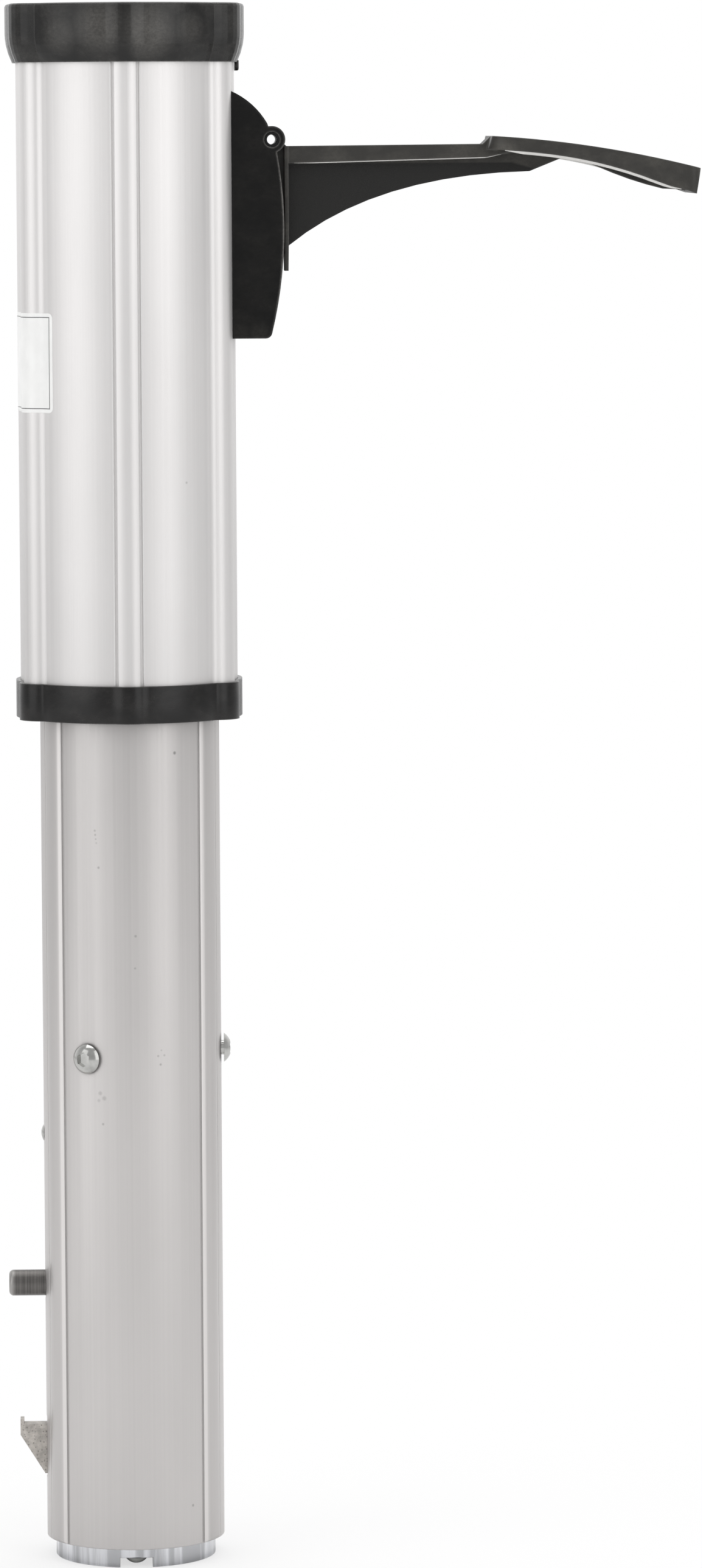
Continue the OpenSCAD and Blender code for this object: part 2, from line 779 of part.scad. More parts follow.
module rod_nuts() {
    color("gray") {
        translate([0, 0, bridge_z1]) nut(nut_af, nut_h, rod_r + fit_gap);
        translate([0, 0, rod_nut_z]) nut(nut_af, nut_h, rod_r + fit_gap);
    }
}

module gas_piston() {
    color("gray") translate([0, 0, piston_z0]) difference() {
        cylinder(r = cyl_bore_r - 0.2, h = piston_h);
        translate([0, 0, -cut]) cylinder(r = rod_r + fit_gap, h = piston_h + 2 * cut);
        translate([0, 0, piston_h / 2 - seal_r]) difference() {
            cylinder(r = cyl_r, h = 2 * seal_r);
            translate([0, 0, -cut]) cylinder(r = cyl_bore_r - 2 * seal_r, h = 2 * seal_r + 2 * cut);
        }
    }
}

module piston_ring() {
    color("black") translate([0, 0, piston_z0 + piston_h / 2 - seal_r + fit_gap]) difference() {
        cylinder(r = cyl_bore_r - fit_gap, h = 2 * (seal_r - fit_gap));
        translate([0, 0, -cut]) cylinder(r = cyl_bore_r - 2 * seal_r + fit_gap, h = 2 * seal_r + 2 * cut);
    }
}

// ------------------------------------------------------------ lever housing

// Side view of the housing: a round head, a slightly bowed front and a flat
// foot. The head is drawn inwards by g.
module housing_side(g = 0) {
    head_z = housing_up - housing_arc_r * sin(66.5);
    head_r = housing_arc_r - g;
    foot_z = -housing_down;
    front_c = housing_front_x - housing_front_r;
    toe_z = foot_z + housing_toe_r - housing_front_z;
    toe_a = asin(toe_z / (housing_front_r - housing_toe_r));
    toe_x = front_c + (housing_front_r - housing_toe_r) * cos(toe_a);
    top_a = asin((-5 - housing_front_z) / housing_front_r);
    polygon(concat(
        [[housing_back_x, foot_z]],
        arc(toe_x, foot_z + housing_toe_r, housing_toe_r, -90, toe_a, 5),
        arc(front_c, housing_front_z, housing_front_r, toe_a, top_a, 12),
        arc(housing_arc_x, head_z, head_r, 30, 66.5, 8),
        [[housing_back_x, head_z + head_r * sin(66.5)]]
    ));
}

module lever_housing() {
    color([0.12, 0.12, 0.12]) difference() {
        translate([pivot_x, 0, pivot_z]) difference() {
            union() {
                side(housing_w) housing_side();
                across(ear_r, housing_w);
            }
            // Hollow inside, and slotted at the front for the lever's hub
            intersection() {
                side(housing_w - 2 * housing_wall) housing_side(housing_wall);
                translate([-pivot_x, -housing_w, -housing_down + housing_foot])
                    cube([pivot_x - hub_r - slot_gap, 2 * housing_w, 2 * housing_down]);
            }
            translate([-hub_r - slot_gap - cut, -hub_w / 2 - ear_gap, -slot_down])
                cube([hub_r + 3 * ear_r, hub_w + 2 * ear_gap, slot_down + housing_up]);
            across(hinge_r + fit_gap, housing_w + 2 * cut);
            for (y = [-housing_screw_y, housing_screw_y]) translate([0, y, housing_screw_z]) {
                radial(housing_screw_r + 0.3, housing_back_x, housing_front_x + cut);
                radial(housing_head_r + 0.5, housing_seat_x, housing_front_x + cut);
            }
        }
        // The back follows the tube and its lobe
        translate([0, 0, pivot_z - housing_down - cut])
            linear_extrude(housing_down + housing_up + 2 * cut) tube_section(seat_gap);
    }
}

module housing_screws() {
    color("silver") for (y = [-housing_screw_y, housing_screw_y])
        translate([pivot_x, y, pivot_z + housing_screw_z]) {
            radial(housing_screw_r, tube_bore_r + 0.2 - pivot_x, housing_seat_x);
            translate([housing_seat_x, 0, 0]) rotate([0, 90, 0]) difference() {
                dome(housing_head_r, housing_head_h);
                translate([0, 0, housing_head_h - 1.4]) cylinder(r = 1.4, h = 2, $fn = 6);
            }
        }
}

module hinge_pin() {
    color("silver") translate([pivot_x, 0, pivot_z]) difference() {
        across(hinge_r, housing_w);
        across(hinge_bore_r, housing_w + 2 * cut);
    }
}

// ------------------------------------------------------------ release lever

// Top of the paddle at the distance u past its inner end
function paddle_z(u) = arm_top + paddle_step - u * tan(paddle_slope) - u * u / (2 * paddle_round_r);
// Depth of the paddle's rim, which grows towards the tip
function rim(u) = let(k = max(0, min(1, (u / paddle_len - 0.2) / 0.64)))
    paddle_rim + (paddle_rim_tip - paddle_rim) * pow(k, 2.3);
// How far the rib under the paddle reaches below the rim
function rib_below(u) = rib_drop * sin(180 * max(0, min(1, (u - rib_in) / (rib_out - rib_in))));
// Lower edge of the web: a curve from the plate's toe to the paddle
function bezier(a, b, c, t) = a * (1 - t) * (1 - t) + 2 * b * t * (1 - t) + c * t * t;

paddle_steps = 14;
rib_steps = 8;

module paddle_side(depth_scale, inset, lift) {
    polygon(concat(
        [for (i = [0:paddle_steps]) let(u = inset + (paddle_len - 2 * inset) * i / paddle_steps)
            [paddle_x + u + (i == 0 ? paddle_ramp : 0), paddle_z(u + (i == 0 ? paddle_ramp : 0)) - lift]],
        [for (i = [paddle_steps:-1:0]) let(u = inset + (paddle_len - 2 * inset) * i / paddle_steps)
            [paddle_x + u - (i == paddle_steps ? paddle_lean * depth_scale : 0),
             paddle_z(u) - rim(u) * depth_scale]]
    ));
}

// Outline of the paddle from above, drawn inwards by g
module paddle_plan(g) {
    r0 = paddle_corner - g;
    r1 = paddle_tip_corner - g;
    w = paddle_w / 2 - g;
    x0 = paddle_x + g;
    x1 = lever_len - g;
    translate([x0, -w + r0]) square([x1 - x0 - r1, 2 * (w - r0)]);
    translate([x0 + r0, -w + r1]) square([x1 - x0 - r0, 2 * (w - r1)]);
    translate([x0 + r0, -w]) square([x1 - x0 - r0 - r1, 2 * w]);
    for (m = [0, 1]) mirror([0, m]) {
        translate([x0 + r0, w - r0]) circle(r0);
        translate([x1 - r1, w - r1]) circle(r1);
    }
}

module paddle() {
    difference() {
        intersection() {
            side(paddle_w) paddle_side(1, 0, 0);
            linear_extrude(2 * paddle_w, center = true) paddle_plan(0);
        }
        intersection() {
            side(paddle_w) paddle_side(3, paddle_wall, paddle_skin);
            linear_extrude(2 * paddle_w, center = true) paddle_plan(paddle_wall);
        }
    }
}

module release_lever() {
    color([0.2, 0.2, 0.19]) translate([pivot_x, 0, pivot_z]) {
        difference() {
            union() {
                across(hub_r, hub_w);
                // Neck from the hub to the back plate, which fills the housing's slot
                side(hub_w) polygon([
                    [0, hub_r / 2], [plate_x + 1, arm_top], [plate_x + 1, plate_bottom + 10],
                    [plate_x - 2, plate_bottom + 10], [-1, -hub_r]
                ]);
                // Inner arm with its round nose over the release pin
                translate([-pivot_x, -inner_w / 2, -nose_r]) cube([pivot_x, inner_w, 2 * nose_r]);
                translate([-pivot_x, 0, 0]) across(nose_r, inner_w);
            }
            across(hinge_r + fit_gap, hub_w + 2 * cut);
        }
        // Back plate, narrower at its lower end
        translate([plate_x, 0, 0]) rotate([0, 90, 0]) linear_extrude(plate_t) polygon([
            [-arm_top, -plate_w / 2], [-arm_top, plate_w / 2],
            [-plate_bottom - 12, plate_w / 2], [-plate_bottom, plate_w / 4],
            [-plate_bottom, -plate_w / 4], [-plate_bottom - 12, -plate_w / 2]
        ]);
        // Flange of the arm, thinner towards the paddle, with the step up to it
        side(lever_w) polygon([
            [plate_x + 0.5, arm_top], [plate_x + 0.5, arm_bottom],
            [paddle_x, arm_top + arm_rise - flange_end_h],
            [paddle_x + flange_in, paddle_z(flange_in) - paddle_rim],
            [paddle_x + flange_in, paddle_z(flange_in) - 1],
            [paddle_x + paddle_ramp, paddle_z(paddle_ramp) - 0.2],
            [paddle_x - 1.6, arm_top + arm_rise]
        ]);
        side(web_t) polygon(concat(
            [[plate_x + 1, arm_top - 1], [plate_x + 1, web_z0]],
            [for (i = [0:10]) let(t = i / 10) [
                bezier(plate_x + plate_t, 42, paddle_x + web_turn, t),
                bezier(web_z0, -14.5, web_turn_z, t)
            ]],
            [[paddle_x + web_out, paddle_z(web_out) - rim(web_out)],
             [paddle_x + web_out, paddle_z(web_out) + web_top_z],
             [paddle_x + flange_in, paddle_z(flange_in) + web_top_z],
             [paddle_x + 2, arm_top + arm_rise - 1]]
        ));
        paddle();
        // Rib under the paddle
        intersection() {
            side(rib_t) polygon(concat(
                [[lever_len, paddle_z(paddle_len) - 1], [paddle_x + web_out - 1, paddle_z(web_out) - 1]],
                [for (i = [0:rib_steps]) let(u = web_out + (paddle_len - web_out) * i / rib_steps)
                    [paddle_x + u, paddle_z(u) - rim(u) - rib_below(u)]]
            ));
            linear_extrude(2 * paddle_w, center = true) paddle_plan(1);
        }
    }
}

module release_pin() {
    color("gold") translate([0, 0, release_top - release_len]) cylinder(r = release_r, h = release_len);
}

lower_post();
foot_ring();
foot_ring_screws();
cylinder_seat();
post_screws();
gas_cylinder();
cylinder_gland();
rod_seal();
cylinder_nut();
upper_guide();
latch_leaf();
leaf_rivet();
latch_button();
latch_wedge();
outer_tube();
lower_collar();
seat_socket();
pin_bush();
top_cap();
cap_screws();
gas_rod();
rod_nuts();
gas_piston();
piston_ring();
lever_housing();
housing_screws();
hinge_pin();
release_lever();
release_pin();
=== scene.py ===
"""Looks of the telescoping boat seat post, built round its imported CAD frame.

Metres, in the CAD's frame: +Z up the post, +X along the release lever, and
the origin on the post's axis at the underside of the foot ring.
"""

import json
import math

import bmesh
import bpy
from mathutils import Matrix, Vector
from mathutils.bvhtree import BVHTree


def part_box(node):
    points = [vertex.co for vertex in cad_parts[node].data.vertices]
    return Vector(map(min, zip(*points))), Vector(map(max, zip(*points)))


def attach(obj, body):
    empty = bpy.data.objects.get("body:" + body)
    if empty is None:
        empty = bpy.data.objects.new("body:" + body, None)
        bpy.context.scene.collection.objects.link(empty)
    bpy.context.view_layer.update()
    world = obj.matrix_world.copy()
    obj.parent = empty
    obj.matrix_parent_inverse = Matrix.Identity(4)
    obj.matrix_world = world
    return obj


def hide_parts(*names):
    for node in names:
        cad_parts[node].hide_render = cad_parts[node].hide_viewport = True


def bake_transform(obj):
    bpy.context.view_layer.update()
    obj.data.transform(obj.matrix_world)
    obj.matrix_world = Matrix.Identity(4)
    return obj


MM = 0.001

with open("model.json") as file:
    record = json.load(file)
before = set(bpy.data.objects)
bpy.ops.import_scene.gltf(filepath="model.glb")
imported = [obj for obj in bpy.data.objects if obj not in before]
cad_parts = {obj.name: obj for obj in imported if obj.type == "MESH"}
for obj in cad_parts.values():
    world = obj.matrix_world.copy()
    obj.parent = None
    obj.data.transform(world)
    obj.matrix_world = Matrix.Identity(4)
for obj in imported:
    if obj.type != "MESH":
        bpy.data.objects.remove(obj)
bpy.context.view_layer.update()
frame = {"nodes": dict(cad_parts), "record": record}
nodes = frame["nodes"]

# ------------------------------------------------------------------ camera

# The photograph's height and the lens's focal length, both in its pixels
PHOTO_H = 2576
FOCAL_PX = 11331.0
CAMERA_AT = Vector((-7.3, -2806.0, 583.7)) * MM
PITCH = math.radians(5.418)
YAW = math.radians(1.992)
ROLL = math.radians(-0.281)
SENSOR = 36.0
# How far the camera sees, in metres
CLIP_END = 50


def add_camera():
    """The photograph's view: from the front, level with the lever, a little down and right."""
    ahead = Vector((math.sin(YAW), math.cos(YAW), 0))
    side = Vector((math.cos(YAW), -math.sin(YAW), 0))
    up = Vector((0, 0, 1))
    forward = ahead * math.cos(PITCH) - up * math.sin(PITCH)
    top = up * math.cos(PITCH) + ahead * math.sin(PITCH)
    right = side * math.cos(ROLL) + top * math.sin(ROLL)
    top = top * math.cos(ROLL) - side * math.sin(ROLL)
    data = bpy.data.cameras.new("camera")
    data.sensor_width = SENSOR
    data.lens = SENSOR * FOCAL_PX / PHOTO_H
    data.clip_end = CLIP_END
    camera = bpy.data.objects.new("camera", data)
    turn = Matrix((right, top, -forward)).transposed().to_4x4()
    camera.matrix_world = Matrix.Translation(CAMERA_AT) @ turn
    bpy.context.scene.collection.objects.link(camera)
    bpy.context.scene.camera = camera


# --------------------------------------------------------------- materials

# Where most of a noise's values lie
MOST = (0.3, 0.7)
# Share of a spot's radius inside which it has its full depth
SPOT_CORE = 0.4
# Cosines of the turn at which a rounded edge starts to show and shows fully
EDGE_TURN = (0.99, 0.85)
# Share of open sky over a face where a hollow starts and where it is full
HOLLOW_SKY = (0.95, 0.45)
# Rays sent out for a rounded edge or a hollow
EDGE_SAMPLES = 6


class Shader:
    """A material's node tree, with short calls for the nodes used here."""

    def __init__(self, name, color, metallic=0.0, roughness=0.5, **extra):
        self.material = bpy.data.materials.new(name)
        self.material.use_nodes = True
        self.tree = self.material.node_tree
        self.surface = self.tree.nodes["Principled BSDF"]
        self.set("Base Color", (*color, 1))
        self.set("Metallic", metallic)
        self.set("Roughness", roughness)
        for socket, value in extra.items():
            self.set(socket.replace("_", " "), value)
        self.place = self.add("ShaderNodeTexCoord").outputs["Object"]

    def set(self, socket, value):
        self.surface.inputs[socket].default_value = value

    def add(self, kind, **values):
        node = self.tree.nodes.new(kind)
        for name, value in values.items():
            setattr(node, name, value)
        return node

    def link(self, source, target):
        self.tree.links.new(source, target)

    def scaled(self, scale, offset=(0, 0, 0)):
        """The object's coordinates in metres, stretched by scale."""
        node = self.add("ShaderNodeMapping")
        node.inputs["Scale"].default_value = scale
        node.inputs["Location"].default_value = offset
        self.link(self.place, node.inputs["Vector"])
        return node.outputs["Vector"]

    def noise(self, scale, detail=3.0, roughness=0.5, offset=(0, 0, 0)):
        """Noise with scale cycles per metre on each axis."""
        node = self.add("ShaderNodeTexNoise")
        node.inputs["Scale"].default_value = 1.0
        node.inputs["Detail"].default_value = detail
        node.inputs["Roughness"].default_value = roughness
        self.link(self.scaled(scale, offset), node.inputs["Vector"])
        return node.outputs["Fac"]

    def cells(self, size_mm):
        """Distance to the nearest of scattered points, about size_mm apart."""
        node = self.add("ShaderNodeTexVoronoi", feature="F1")
        node.inputs["Scale"].default_value = 1.0
        self.link(self.scaled(along(size_mm, size_mm, size_mm)), node.inputs["Vector"])
        return node.outputs["Distance"]

    def axes(self):
        """The object's X, Y and Z in metres."""
        parts = self.add("ShaderNodeSeparateXYZ")
        self.link(self.place, parts.inputs["Vector"])
        return [parts.outputs[axis] for axis in "XYZ"]

    def ramp(self, value, low, high, start, end):
        """value between low and high becomes start to end."""
        node = self.add("ShaderNodeMapRange")
        node.inputs["From Min"].default_value = low
        node.inputs["From Max"].default_value = high
        node.inputs["To Min"].default_value = start
        node.inputs["To Max"].default_value = end
        self.link(value, node.inputs["Value"])
        return node.outputs["Result"]

    def near(self, x, y, z, radius, depth):
        """depth at a point given in mm, falling to 0 at radius mm from it."""
        spot = self.add("ShaderNodeVectorMath", operation="DISTANCE")
        self.link(self.place, spot.inputs[0])
        spot.inputs[1].default_value = (x * MM, y * MM, z * MM)
        return self.ramp(spot.outputs["Value"], SPOT_CORE * radius * MM, radius * MM, depth, 0)

    def beside(self, turns, out):
        """Distance in metres to the nearest upright line, at some turns, out mm from the axis."""
        flat = self.add("ShaderNodeVectorMath", operation="MULTIPLY")
        self.link(self.place, flat.inputs[0])
        flat.inputs[1].default_value = (1, 1, 0)
        nearest = 1.0
        for turn in turns:
            gap = self.add("ShaderNodeVectorMath", operation="DISTANCE")
            self.link(flat.outputs["Vector"], gap.inputs[0])
            at = math.radians(turn)
            gap.inputs[1].default_value = (out * MM * math.cos(at), out * MM * math.sin(at), 0)
            nearest = self.math("MINIMUM", nearest, gap.outputs["Value"])
        return nearest

    def math(self, operation, a, b):
        """The result of an operation on two values. Each is a number or a socket."""
        node = self.add("ShaderNodeMath", operation=operation)
        for slot, value in enumerate((a, b)):
            if isinstance(value, (int, float)):
                node.inputs[slot].default_value = value
            else:
                self.link(value, node.inputs[slot])
        return node.outputs["Value"]

    def mix(self, factor, a, b):
        """Colour a at factor 0, b at 1. Each is a colour or a socket."""
        node = self.add("ShaderNodeMix", data_type="RGBA")
        self.link(factor, node.inputs["Factor"])
        for name, value in (("A", a), ("B", b)):
            socket = [s for s in node.inputs if s.name == name and s.type == "RGBA"][0]
            if isinstance(value, tuple):
                socket.default_value = (*value, 1)
            else:
                self.link(value, socket)
        return [s for s in node.outputs if s.type == "RGBA"][0]

    def bump(self, height, distance):
        """A bump of distance mm on top of those before it."""
        node = self.add("ShaderNodeBump")
        node.inputs["Strength"].default_value = 1.0
        node.inputs["Distance"].default_value = distance * MM
        self.link(height, node.inputs["Height"])
        normal = self.surface.inputs["Normal"]
        if normal.is_linked:
            self.link(normal.links[0].from_socket, node.inputs["Normal"])
        self.link(node.outputs["Normal"], normal)

    def to(self, socket, value):
        """Links a value to one of the surface's own sockets."""
        self.link(value, self.surface.inputs[socket])

    def soft_edges(self, radius):
        """Shades sharp edges as if rounded by radius mm, before any bump. Gives 1 at an edge."""
        node = self.add("ShaderNodeBevel", samples=EDGE_SAMPLES)
        node.inputs["Radius"].default_value = radius * MM
        self.to("Normal", node.outputs["Normal"])
        turn = self.add("ShaderNodeVectorMath", operation="DOT_PRODUCT")
        self.link(node.outputs["Normal"], turn.inputs[0])
        self.link(self.add("ShaderNodeNewGeometry").outputs["Normal"], turn.inputs[1])
        return self.ramp(turn.outputs["Value"], *EDGE_TURN, 0, 1)

    def hollows(self, reach):
        """1 deep in a groove or corner about reach mm wide, where shade is painted, 0 on open
        faces.
        """
        node = self.add("ShaderNodeAmbientOcclusion", samples=EDGE_SAMPLES)
        node.inputs["Distance"].default_value = reach * MM
        return self.ramp(node.outputs["AO"], *HOLLOW_SKY, 0, 1)


def along(x, y, z):
    """Texture scale from the length in mm of one cycle on each axis."""
    return (1000 / x, 1000 / y, 1000 / z)


def shade(color, factor):
    """The colour made darker or lighter by a factor."""
    return tuple(min(1.0, c * factor) for c in color)


# Crests of the post's guide ribs: their distance from its axis in mm, and their turns round it
RIB_OUT = 38.0
RIB_TURNS = (-30, 90, 210)
# Across a rib, in mm from its crest: where the painted shade on its top ends, and where the
# painted highlight on its flank begins and ends
RIB_SHADED_TOP = (3.5, 4.9)
FLANK_LIT_START = (4.6, 5.3)
FLANK_LIT_END = (6.7, 7.1)


def extrusion(name, color, marks=(), groove_shade=0.55, shaded_below=None, ribs=()):
    """Satin anodised extrusion: die lines along Z, a soft cloudiness, and a few small dents.

    Its grooves and corners are darkened as painted shade, by the factor given for them. A span of
    heights in mm can darken it towards its lower end, as painted shade. ribs are the turns of guide
    ribs, whose tops get painted shade and whose flanks a painted highlight. Its sharp edges get a
    painted highlight.
    """
    s = Shader(name, color, metallic=0.66, roughness=0.4)
    # Mask of sharp edges, for the painted highlight along them
    edge_highlight = s.soft_edges(0.9)
    lines = s.noise(along(1.1, 1.1, 900), detail=4, roughness=0.62)
    cloud = s.noise(along(46, 46, 120), detail=3, offset=(3, 1, 7))
    grain = s.noise(along(0.5, 0.5, 0.9), detail=2)
    tone = s.math("ADD", s.ramp(lines, *MOST, -0.5, 0.5), s.ramp(cloud, *MOST, -0.6, 0.6))
    tone = s.ramp(tone, -1.1, 1.1, 0, 1)
    tint = s.mix(tone, shade(color, 0.93), shade(color, 1.05))
    # Painted shade: darker towards the lower end
    if shaded_below:
        low = s.ramp(s.axes()[2], shaded_below[0] * MM, shaded_below[1] * MM, 1, 0)
        tint = s.mix(low, tint, s.mix(tone, shade(color, 0.8), shade(color, 0.91)))
    # Painted shade on the ribs' tops and a painted highlight on their flanks
    if ribs:
        gap = s.beside(ribs, RIB_OUT)
        top = s.ramp(gap, RIB_SHADED_TOP[0] * MM, RIB_SHADED_TOP[1] * MM, 0.5, 0)
        tint = s.mix(top, tint, shade(color, 0.86))
        starts = s.ramp(gap, FLANK_LIT_START[0] * MM, FLANK_LIT_START[1] * MM, 0, 0.7)
        ends = s.ramp(gap, FLANK_LIT_END[0] * MM, FLANK_LIT_END[1] * MM, 1, 0)
        tint = s.mix(s.math("MULTIPLY", starts, ends), tint, shade(color, 1.35))
    # Painted highlight along sharp edges
    tint = s.mix(s.math("MULTIPLY", edge_highlight, 0.8), tint, shade(color, 1.5))
    # Painted shade in grooves and corners
    tint = s.mix(s.hollows(2.2), tint, shade(color, groove_shade))
    for mark in marks:
        tint = s.mix(s.near(*mark), tint, shade(color, 0.32))
    s.to("Base Color", tint)
    s.to("Roughness", s.ramp(lines, *MOST, 0.34, 0.46))
    s.bump(lines, 0.03)
    s.bump(grain, 0.01)
    return s.material


def ring_metal(name, color):
    """Bright turned ring: fine lines round it, and broad streaks from where it was wiped down."""
    s = Shader(name, color, metallic=0.94, roughness=0.15)
    rings = s.noise(along(140, 140, 0.55), detail=3, roughness=0.7)
    streaks = s.noise(along(5.5, 5.5, 90), detail=3, roughness=0.6)
    s.to("Base Color", s.mix(s.ramp(streaks, 0.42, 0.6, 0, 1), shade(color, 0.62), color))
    s.to("Roughness", s.ramp(rings, *MOST, 0.1, 0.24))
    s.bump(rings, 0.012)
    return s.material


# The bright outer end of the push button, along X in mm
BUTTON_END = (-50.3, -48.6)


def turned_button(name, color, pale):
    """Turned button along X: fine rings round it, its outer end polished bright."""
    s = Shader(name, color, metallic=0.92, roughness=0.38)
    rings = s.noise(along(0.8, 60, 60), detail=3, roughness=0.7)
    end = s.ramp(s.axes()[0], BUTTON_END[0] * MM, BUTTON_END[1] * MM, 1, 0)
    body = s.mix(s.ramp(rings, 0.35, 0.65, 0, 1), shade(color, 0.7), shade(color, 1.25))
    s.to("Base Color", s.mix(end, body, pale))
    s.to("Roughness", s.ramp(rings, *MOST, 0.3, 0.5))
    s.bump(rings, 0.02)
    return s.material


def polished(name, color, roughness):
    """Bright screw or pin: almost a mirror, with faint scratches."""
    s = Shader(name, color, metallic=1.0, roughness=roughness)
    scratches = s.noise(along(0.6, 5, 5), detail=4, roughness=0.7)
    smudge = s.noise(along(3, 3, 3), detail=2)
    s.to("Base Color", s.mix(s.ramp(smudge, 0.35, 0.7, 0, 1), color, shade(color, 0.8)))
    s.to("Roughness", s.ramp(scratches, 0.35, 0.7, roughness, roughness + 0.12))
    s.bump(scratches, 0.01)
    return s.material


def cast(name, color, grain, metallic=0.55):
    """Rough cast metal: sandy grain of grain mm, pits and darker patches."""
    s = Shader(name, color, metallic=metallic, roughness=0.55)
    s.soft_edges(0.4)
    sand = s.noise(along(grain, grain, grain), detail=4, roughness=0.65)
    patch = s.noise(along(3.4, 3.4, 3.4), detail=4, roughness=0.6)
    hole = s.ramp(s.cells(1.3), 0.08, 0.3, 0, 1)
    tint = s.mix(s.ramp(patch, 0.36, 0.66, 0, 1), shade(color, 0.7), shade(color, 1.1))
    s.to("Base Color", s.mix(hole, shade(color, 0.45), tint))
    s.to("Roughness", s.ramp(sand, *MOST, 0.47, 0.69))
    s.bump(sand, 0.12)
    s.bump(hole, 0.12)
    return s.material


# Grey painted on black plastic's edges: edges gone grey with use, and on the bracket's front
# edge a painted highlight
EDGE_WEAR_AND_HIGHLIGHT = (0.3, 0.29, 0.275)
# Dark lines of painted shade down the cap, kept free of scuffs: upright lines just inside its
# skin, by their distance from its axis in mm and their turns round it, and how far in mm from
# them the scuffs start and are full
SHADE_LINE_OUT = 46.5
SHADE_LINE_TURNS = (-90, 30, 150)
SHADE_LINE_SIDES = (1.5, 5.0)


def moulded(
    name, color, scuff_and_sheen_color, amount, roughness, sheen=0.5,
    edge=0.6, wear_and_highlight=0.3, highlight_at=None, rubs_and_sheen=(), shade_lines=(), shaded_web=False,
):
    """Black moulded plastic: fine texture, with paler scuffs in it and paler edges.

    amount is how much of it is scuffed. The spots given are painted pale: where the lever's paddle
    is scuffed most, and painted reflection on the cap and the bracket. edge is the shaded rounding
    of its edges in mm. Their pale grey is partly edges gone grey with use and partly painted
    highlight, by the share given, and can be kept to one spot: the bracket's front edge, a painted
    highlight.
    Lines at the turns given down it are kept free of scuffs as painted shade, and the lever's web
    can be painted with shade.
    """
    s = Shader(name, color, roughness=roughness, Specular_IOR_Level=sheen)
    pale_edges = s.soft_edges(edge)
    wide = s.noise(along(16, 16, 11), detail=3, roughness=0.6)
    fine = s.noise(along(1.6, 1.6, 1.1), detail=5, roughness=0.7)
    grain = s.noise(along(0.35, 0.35, 0.35), detail=2)
    scuff_and_sheen = s.math("MULTIPLY", s.ramp(wide, 0.42, 0.66, 0, 1), s.ramp(fine, *MOST, 0.35, 1))
    scuff_and_sheen = s.math("MULTIPLY", scuff_and_sheen, amount)
    # Spots painted pale: scuffs on the paddle, painted reflection on the cap and the bracket
    for spot in rubs_and_sheen:
        patch = s.math("MULTIPLY", s.near(*spot), s.ramp(fine, 0.35, 0.65, 0.55, 1))
        scuff_and_sheen = s.math("MAXIMUM", scuff_and_sheen, patch)
    # Painted shade: no scuffs along the lines down the cap
    if shade_lines:
        gap = s.beside(shade_lines, SHADE_LINE_OUT)
        sides = s.ramp(gap, SHADE_LINE_SIDES[0] * MM, SHADE_LINE_SIDES[1] * MM, 0, 1)
        scuff_and_sheen = s.math("MULTIPLY", scuff_and_sheen, sides)
    # Pale grey on the edges: edges gone grey with use, and a painted highlight on the bracket's
    # front edge
    pale_edges = s.math("MULTIPLY", pale_edges, s.ramp(fine, 0.3, 0.6, 0.5 * wear_and_highlight, wear_and_highlight))
    if highlight_at:
        pale_edges = s.math("MULTIPLY", pale_edges, s.near(*highlight_at))
    tint = s.mix(pale_edges, s.mix(scuff_and_sheen, color, scuff_and_sheen_color), EDGE_WEAR_AND_HIGHLIGHT)
    # Painted shade on the web under the arm's flange
    if shaded_web:
        tint = s.mix(web_shade_mask(s), tint, shade(color, 0.25))
    s.to("Base Color", tint)
    s.to("Roughness", s.ramp(fine, *MOST, roughness - 0.06, roughness + 0.08))
    s.bump(grain, 0.04)
    s.bump(fine, 0.03)
    return s.material


# The space painted with shade on the web under the lever's arm, in mm: its outer end, half its
# width, where its top starts to slope, and the top's height there and at the outer end
WEB_END = 182.0
WEB_HALF = 3.8
WEB_SLOPE = 156.5
WEB_TOP = (570.3, 563.0)
# How softly the web's shade ends at its top, at its sides and at its outer end, in mm
WEB_BLUR = (0.4, 0.5, 1.0)


def web_shade_mask(s):
    """1 on the thin web under the lever's arm, where its shade is painted, 0 elsewhere on the
    lever.
    """
    x, y, z = s.axes()
    at_top, at_side, at_end = WEB_BLUR
    under = s.ramp(x, WEB_SLOPE * MM, WEB_END * MM, WEB_TOP[0] * MM, WEB_TOP[1] * MM)
    below = s.ramp(s.math("SUBTRACT", z, under), -at_top * MM, at_top * MM, 1, 0)
    off = s.math("ABSOLUTE", y, 0.0)
    thin = s.ramp(off, WEB_HALF * MM, (WEB_HALF + at_side) * MM, 1, 0)
    inside = s.math("MULTIPLY", below, thin)
    return s.math("MULTIPLY", inside, s.ramp(x, (WEB_END - at_end) * MM, WEB_END * MM, 1, 0))


def plain_metal(name, color, roughness):
    """Plated or painted metal, nearly even."""
    s = Shader(name, color, metallic=0.9, roughness=roughness)
    cloud = s.noise(along(4.8, 4.8, 4.8), detail=3)
    fine = s.noise(along(1.2, 1.2, 0.24), detail=3)
    s.to("Base Color", s.mix(s.ramp(cloud, 0.35, 0.65, 0, 1), color, shade(color, 0.8)))
    s.to("Roughness", s.ramp(fine, *MOST, roughness - 0.06, roughness + 0.1))
    s.bump(fine, 0.02)
    return s.material


def vinyl(name, color):
    """Thin vinyl, slightly uneven where it is pressed down."""
    s = Shader(name, color, roughness=0.35, Coat_Weight=0.15)
    lay = s.noise(along(6, 6, 9), detail=2)
    s.to("Base Color", s.mix(s.ramp(lay, 0.35, 0.65, 0, 1), color, shade(color, 0.95)))
    s.bump(lay, 0.03)
    return s.material


